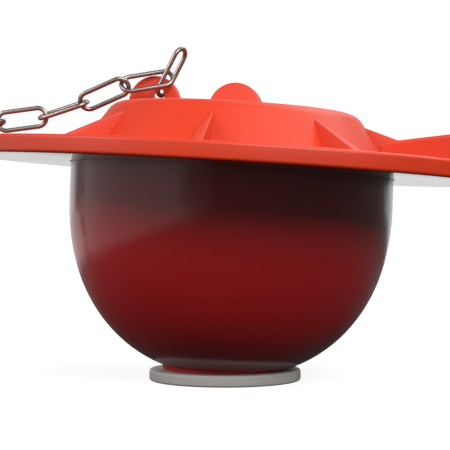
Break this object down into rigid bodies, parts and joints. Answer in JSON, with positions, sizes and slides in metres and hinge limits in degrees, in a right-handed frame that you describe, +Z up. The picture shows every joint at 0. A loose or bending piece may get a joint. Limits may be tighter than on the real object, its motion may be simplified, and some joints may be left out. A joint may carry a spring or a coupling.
{
  "type": "toilet flapper",
  "caption": "Flush valve flapper: a round sealing flange with a ribbed dome, a hollow rubber bowl beneath, hinge arms and a lift chain.",
  "frame": {"origin": "middle of the base disc's underside, on the surface that the flapper stands on", "axes": "+Z up; +X along the hinge arms, away from the flange; the chain leaves along -X"},
  "size_m": [0.1337, 0.0995, 0.0624],
  "materials": {
    "top_rubber": "moulded, satin",
    "bowl_rubber": "moulded, glossy",
    "disc_plastic": "moulded, matt",
    "chain_steel": "drawn wire, bright"
  },
  "bodies": {
    "flapper": {"flapper_top": "top_rubber", "bowl": "bowl_rubber", "base_disc": "disc_plastic"},
    "link_01": {"chain_link_01": "chain_steel"},
    "link_02": {"chain_link_02": "chain_steel"},
    "link_03": {"chain_link_03": "chain_steel"},
    "link_04": {"chain_link_04": "chain_steel"},
    "link_05": {"chain_link_05": "chain_steel"},
    "link_06": {"chain_link_06": "chain_steel"},
    "link_07": {"chain_link_07": "chain_steel"},
    "link_08": {"chain_link_08": "chain_steel"},
    "hook": {"lever_hook": "chain_steel"}
  },
  "joints": [
    {"name": "link_01_swing", "type": "hinge", "parent": "flapper", "child": "link_01", "pos_m": [-0.01255, 0.00038, 0.05341], "axis": [0, 1, 0], "range_deg": [0, 35]},
    {"name": "link_02_swing", "type": "hinge", "parent": "link_01", "child": "link_02", "pos_m": [-0.0107, -0.00129, 0.0556], "axis": [0, 1, 0], "range_deg": [0, 35]},
    {"name": "link_03_swing", "type": "hinge", "parent": "link_02", "child": "link_03", "pos_m": [-0.01847, -0.00321, 0.0547], "axis": [0, 1, 0], "range_deg": [0, 35]},
    {"name": "link_04_swing", "type": "hinge", "parent": "link_03", "child": "link_04", "pos_m": [-0.02577, -0.00337, 0.05201], "axis": [0, 1, 0], "range_deg": [0, 35]},
    {"name": "link_05_swing", "type": "hinge", "parent": "link_04", "child": "link_05", "pos_m": [-0.03507, -0.00272, 0.04926], "axis": [0, 1, 0], "range_deg": [0, 35]},
    {"name": "link_06_swing", "type": "hinge", "parent": "link_05", "child": "link_06", "pos_m": [-0.04235, -0.00276, 0.0487], "axis": [0, 1, 0], "range_deg": [0, 35]},
    {"name": "link_07_swing", "type": "hinge", "parent": "link_06", "child": "link_07", "pos_m": [-0.05017, -0.00276, 0.0449], "axis": [0, 1, 0], "range_deg": [0, 40]},
    {"name": "link_08_swing", "type": "hinge", "parent": "link_07", "child": "link_08", "pos_m": [-0.05102, -0.00276, 0.03742], "axis": [0, 1, 0], "range_deg": [0, 35]},
    {"name": "hook_swing", "type": "hinge", "parent": "link_08", "child": "hook", "pos_m": [-0.05102, -0.00276, 0.0277], "axis": [0, 1, 0], "range_deg": [0, 40]}
  ]
}
